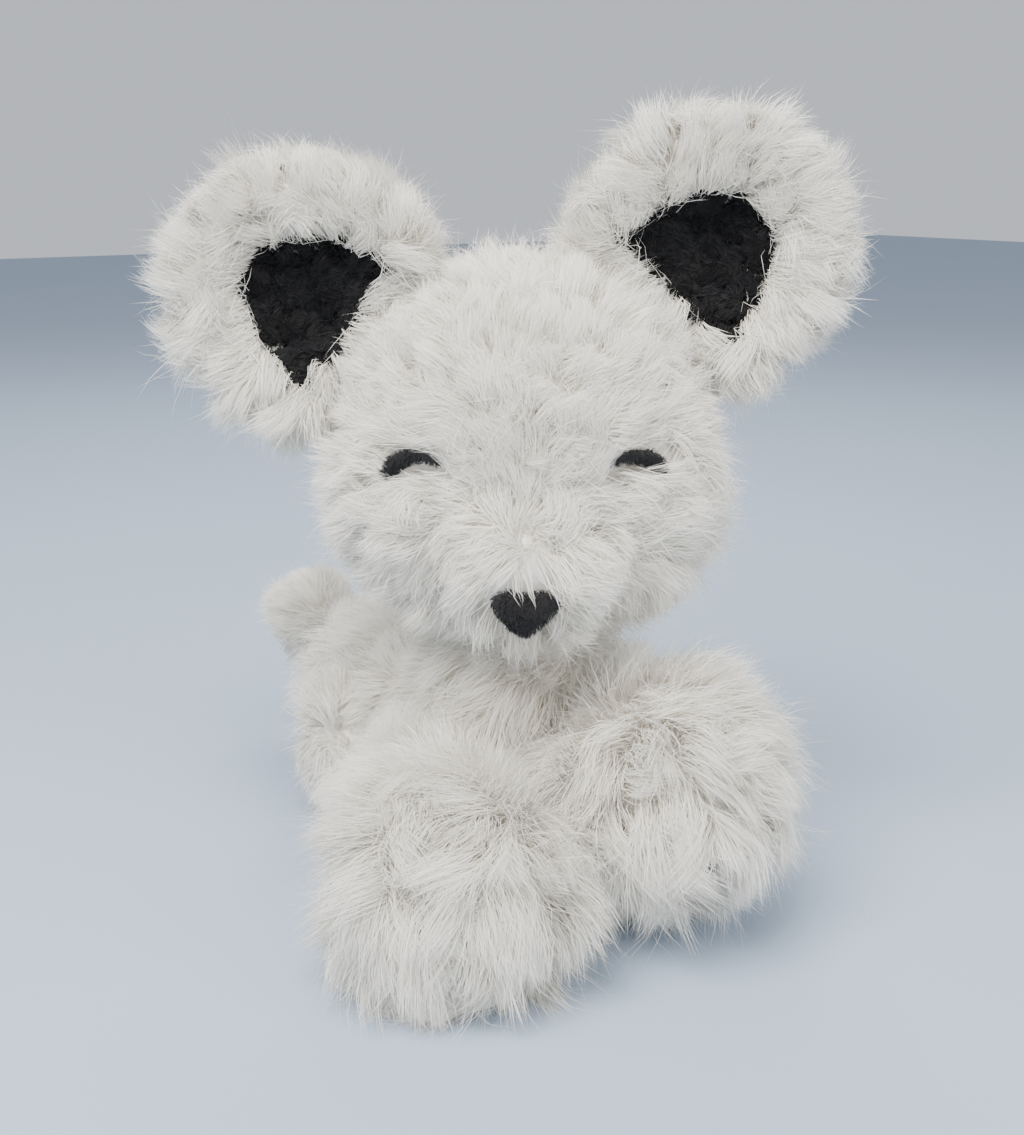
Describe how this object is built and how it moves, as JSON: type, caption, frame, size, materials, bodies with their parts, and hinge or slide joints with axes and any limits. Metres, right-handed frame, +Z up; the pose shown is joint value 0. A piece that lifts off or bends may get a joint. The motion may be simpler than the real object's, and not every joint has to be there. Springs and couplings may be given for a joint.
{
  "type": "plush dog",
  "caption": "Fluffy white fur-fabric dog lying on its belly, with large cupped ears lined in black, arched closed eyes, and limbs and head that turn.",
  "frame": {"origin": "middle of the flat belly, on the surface the dog lies on", "axes": "+Z up, the dog's body along Y with its chest towards -Y and its tail towards +Y, +X to the dog's left; the head is stored turned 33 degrees to the dog's right"},
  "size_m": [0.1418, 0.2105, 0.1983],
  "materials": {
    "white_fur": "long white faux-fur pile",
    "black_plush": "short black plush pile",
    "black_felt": "black felt",
    "stuffing": "loose white fibre",
    "joint_plastic": "matte",
    "thread": "strong sewing thread"
  },
  "bodies": {
    "body": {"body_panel_left": "white_fur", "body_panel_right": "white_fur", "belly_panel": "white_fur", "body_stuffing": "stuffing", "closing_stitches": "thread", "neck_washer": "joint_plastic", "leg_washers": "joint_plastic"},
    "head": {"head_gusset": "white_fur", "head_side_left": "white_fur", "head_side_right": "white_fur", "chin_panel": "white_fur", "head_stuffing": "stuffing", "nose": "black_felt", "left_eye": "black_felt", "right_eye": "black_felt", "neck_joint_disc": "joint_plastic", "neck_lock_ring": "joint_plastic"},
    "left_ear": {"left_ear_back": "white_fur", "left_ear_front": "white_fur", "left_ear_lining": "black_plush"},
    "right_ear": {"right_ear_back": "white_fur", "right_ear_front": "white_fur", "right_ear_lining": "black_plush"},
    "front_left_leg": {"front_left_leg_cover": "white_fur", "front_left_leg_stuffing": "stuffing", "front_left_paw_pad": "black_plush", "front_left_joint_disc": "joint_plastic", "front_left_lock_ring": "joint_plastic"},
    "front_right_leg": {"front_right_leg_cover": "white_fur", "front_right_leg_stuffing": "stuffing", "front_right_paw_pad": "black_plush", "front_right_joint_disc": "joint_plastic", "front_right_lock_ring": "joint_plastic"},
    "hind_left_leg": {"hind_left_leg_cover": "white_fur", "hind_left_leg_stuffing": "stuffing", "hind_left_paw_pad": "black_plush", "hind_left_joint_disc": "joint_plastic", "hind_left_lock_ring": "joint_plastic"},
    "hind_right_leg": {"hind_right_leg_cover": "white_fur", "hind_right_leg_stuffing": "stuffing", "hind_right_paw_pad": "black_plush", "hind_right_joint_disc": "joint_plastic", "hind_right_lock_ring": "joint_plastic"},
    "tail": {"tail_cover": "white_fur", "tail_stuffing": "stuffing"}
  },
  "joints": [
    {"name": "head_turn", "type": "hinge", "parent": "body", "child": "head", "pos_m": [0, -0.042, 0.076], "axis": [0, 0, 1], "range_deg": [-27, 93]},
    {"name": "left_ear_fold", "type": "hinge", "parent": "head", "child": "left_ear", "pos_m": [0.03102, -0.05737, 0.15561], "axis": [0.6033, -0.3918, -0.6947], "range_deg": [-20, 35]},
    {"name": "right_ear_fold", "type": "hinge", "parent": "head", "child": "right_ear", "pos_m": [-0.03224, -0.0163, 0.14768], "axis": [0.469, -0.3046, 0.829], "range_deg": [-20, 35]},
    {"name": "front_left_leg_swing", "type": "hinge", "parent": "body", "child": "front_left_leg", "pos_m": [0.024, -0.034, 0.0285], "axis": [1, 0, 0], "range_deg": [0, 60]},
    {"name": "front_right_leg_swing", "type": "hinge", "parent": "body", "child": "front_right_leg", "pos_m": [-0.024, -0.036, 0.0285], "axis": [1, 0, 0], "range_deg": [-25, 60]},
    {"name": "hind_left_leg_swing", "type": "hinge", "parent": "body", "child": "hind_left_leg", "pos_m": [0.024, 0.009, 0.025], "axis": [1, 0, 0], "range_deg": [0, 95]},
    {"name": "hind_right_leg_swing", "type": "hinge", "parent": "body", "child": "hind_right_leg", "pos_m": [-0.024, 0.009, 0.025], "axis": [1, 0, 0], "range_deg": [0, 95]},
    {"name": "tail_wag", "type": "hinge", "parent": "body", "child": "tail", "pos_m": [0, 0.0615, 0.038], "axis": [0, 0, 1], "range_deg": [-53, 27]}
  ]
}
